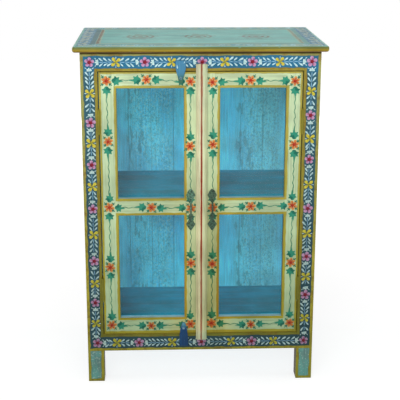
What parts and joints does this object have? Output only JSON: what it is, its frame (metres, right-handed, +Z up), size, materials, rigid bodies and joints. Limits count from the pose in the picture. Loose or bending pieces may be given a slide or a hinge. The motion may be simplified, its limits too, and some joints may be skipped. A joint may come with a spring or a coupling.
{
  "type": "glazed cabinet",
  "caption": "Low painted wooden cabinet on square legs, with glazed framed doors on butt hinges over a shelved interior, iron bow handles and wooden turn buttons.",
  "frame": {"origin": "on the floor, under the middle of the cabinet's overall width and depth, handles and top included", "axes": "+Z up, -Y out of the doors, +X to the right of someone facing the doors"},
  "size_m": [0.762, 0.5188, 1.0795],
  "materials": {
    "turquoise_painted_wood": "worn matt paint",
    "blue_painted_wood": "worn satin paint with painted flowers",
    "cream_painted_wood": "worn satin paint with painted flowers",
    "sky_blue_painted_wood": "distressed matt paint",
    "teal_painted_wood": "matt paint",
    "painted_hinge_iron": "ochre brushed paint",
    "forged_iron": "patinated forged iron",
    "steel_fixings": "dull steel",
    "window_glass": "clear float glass"
  },
  "bodies": {
    "case": {"back_bottom_rail": "blue_painted_wood", "back_left_post": "blue_painted_wood", "back_planks": "sky_blue_painted_wood", "back_right_post": "blue_painted_wood", "back_top_board": "turquoise_painted_wood", "back_top_rail": "blue_painted_wood", "bottom_door_stop": "teal_painted_wood", "floor_board": "teal_painted_wood", "front_bottom_rail": "blue_painted_wood", "front_left_post": "blue_painted_wood", "front_right_post": "blue_painted_wood", "front_top_board": "turquoise_painted_wood", "front_top_rail": "blue_painted_wood", "hinge_pins": "steel_fixings", "left_floor_batten": "teal_painted_wood", "left_post_hinge_leaves": "painted_hinge_iron", "left_shelf_batten": "teal_painted_wood", "left_side_bottom_rail": "blue_painted_wood", "left_side_panel": "turquoise_painted_wood", "left_side_top_rail": "blue_painted_wood", "middle_shelf": "teal_painted_wood", "middle_top_board": "turquoise_painted_wood", "post_hinge_screws": "steel_fixings", "right_floor_batten": "teal_painted_wood", "right_post_hinge_leaves": "painted_hinge_iron", "right_shelf_batten": "teal_painted_wood", "right_side_bottom_rail": "blue_painted_wood", "right_side_panel": "turquoise_painted_wood", "right_side_top_rail": "blue_painted_wood", "top_door_stop": "teal_painted_wood"},
    "left_door": {"left_door_bottom_rail": "cream_painted_wood", "left_door_glazing_beads": "cream_painted_wood", "left_door_handle": "forged_iron", "left_door_hinge_leaves": "painted_hinge_iron", "left_door_hinge_screws": "steel_fixings", "left_door_hinge_stile": "cream_painted_wood", "left_door_lower_glass": "window_glass", "left_door_meeting_stile": "cream_painted_wood", "left_door_middle_rail": "cream_painted_wood", "left_door_top_rail": "cream_painted_wood", "left_door_upper_glass": "window_glass", "left_handle_nails": "forged_iron", "left_meeting_bead": "cream_painted_wood", "turn_button_screws": "steel_fixings"},
    "right_door": {"right_door_bottom_rail": "cream_painted_wood", "right_door_glazing_beads": "cream_painted_wood", "right_door_handle": "forged_iron", "right_door_hinge_leaves": "painted_hinge_iron", "right_door_hinge_screws": "steel_fixings", "right_door_hinge_stile": "cream_painted_wood", "right_door_lower_glass": "window_glass", "right_door_meeting_stile": "cream_painted_wood", "right_door_middle_rail": "cream_painted_wood", "right_door_top_rail": "cream_painted_wood", "right_door_upper_glass": "window_glass", "right_handle_nails": "forged_iron", "right_meeting_bead": "cream_painted_wood"},
    "upper_turn_button": {"upper_turn_button": "blue_painted_wood"},
    "lower_turn_button": {"lower_turn_button": "blue_painted_wood"}
  },
  "joints": [
    {"name": "left_door_hinge", "type": "hinge", "parent": "case", "child": "left_door", "pos_m": [-0.3075, -0.23575, 0.5825], "axis": [0, 0, -1], "range_deg": [0, 150]},
    {"name": "right_door_hinge", "type": "hinge", "parent": "case", "child": "right_door", "pos_m": [0.3075, -0.23575, 0.5825], "axis": [0, 0, 1], "range_deg": [0, 150]},
    {"name": "upper_turn_button_pivot", "type": "hinge", "parent": "left_door", "child": "upper_turn_button", "pos_m": [-0.0608, -0.23655, 0.984], "axis": [0, -1, 0], "range_deg": [0, 90]},
    {"name": "lower_turn_button_pivot", "type": "hinge", "parent": "left_door", "child": "lower_turn_button", "pos_m": [-0.054, -0.23655, 0.185], "axis": [0, 1, 0], "range_deg": [0, 90]}
  ]
}
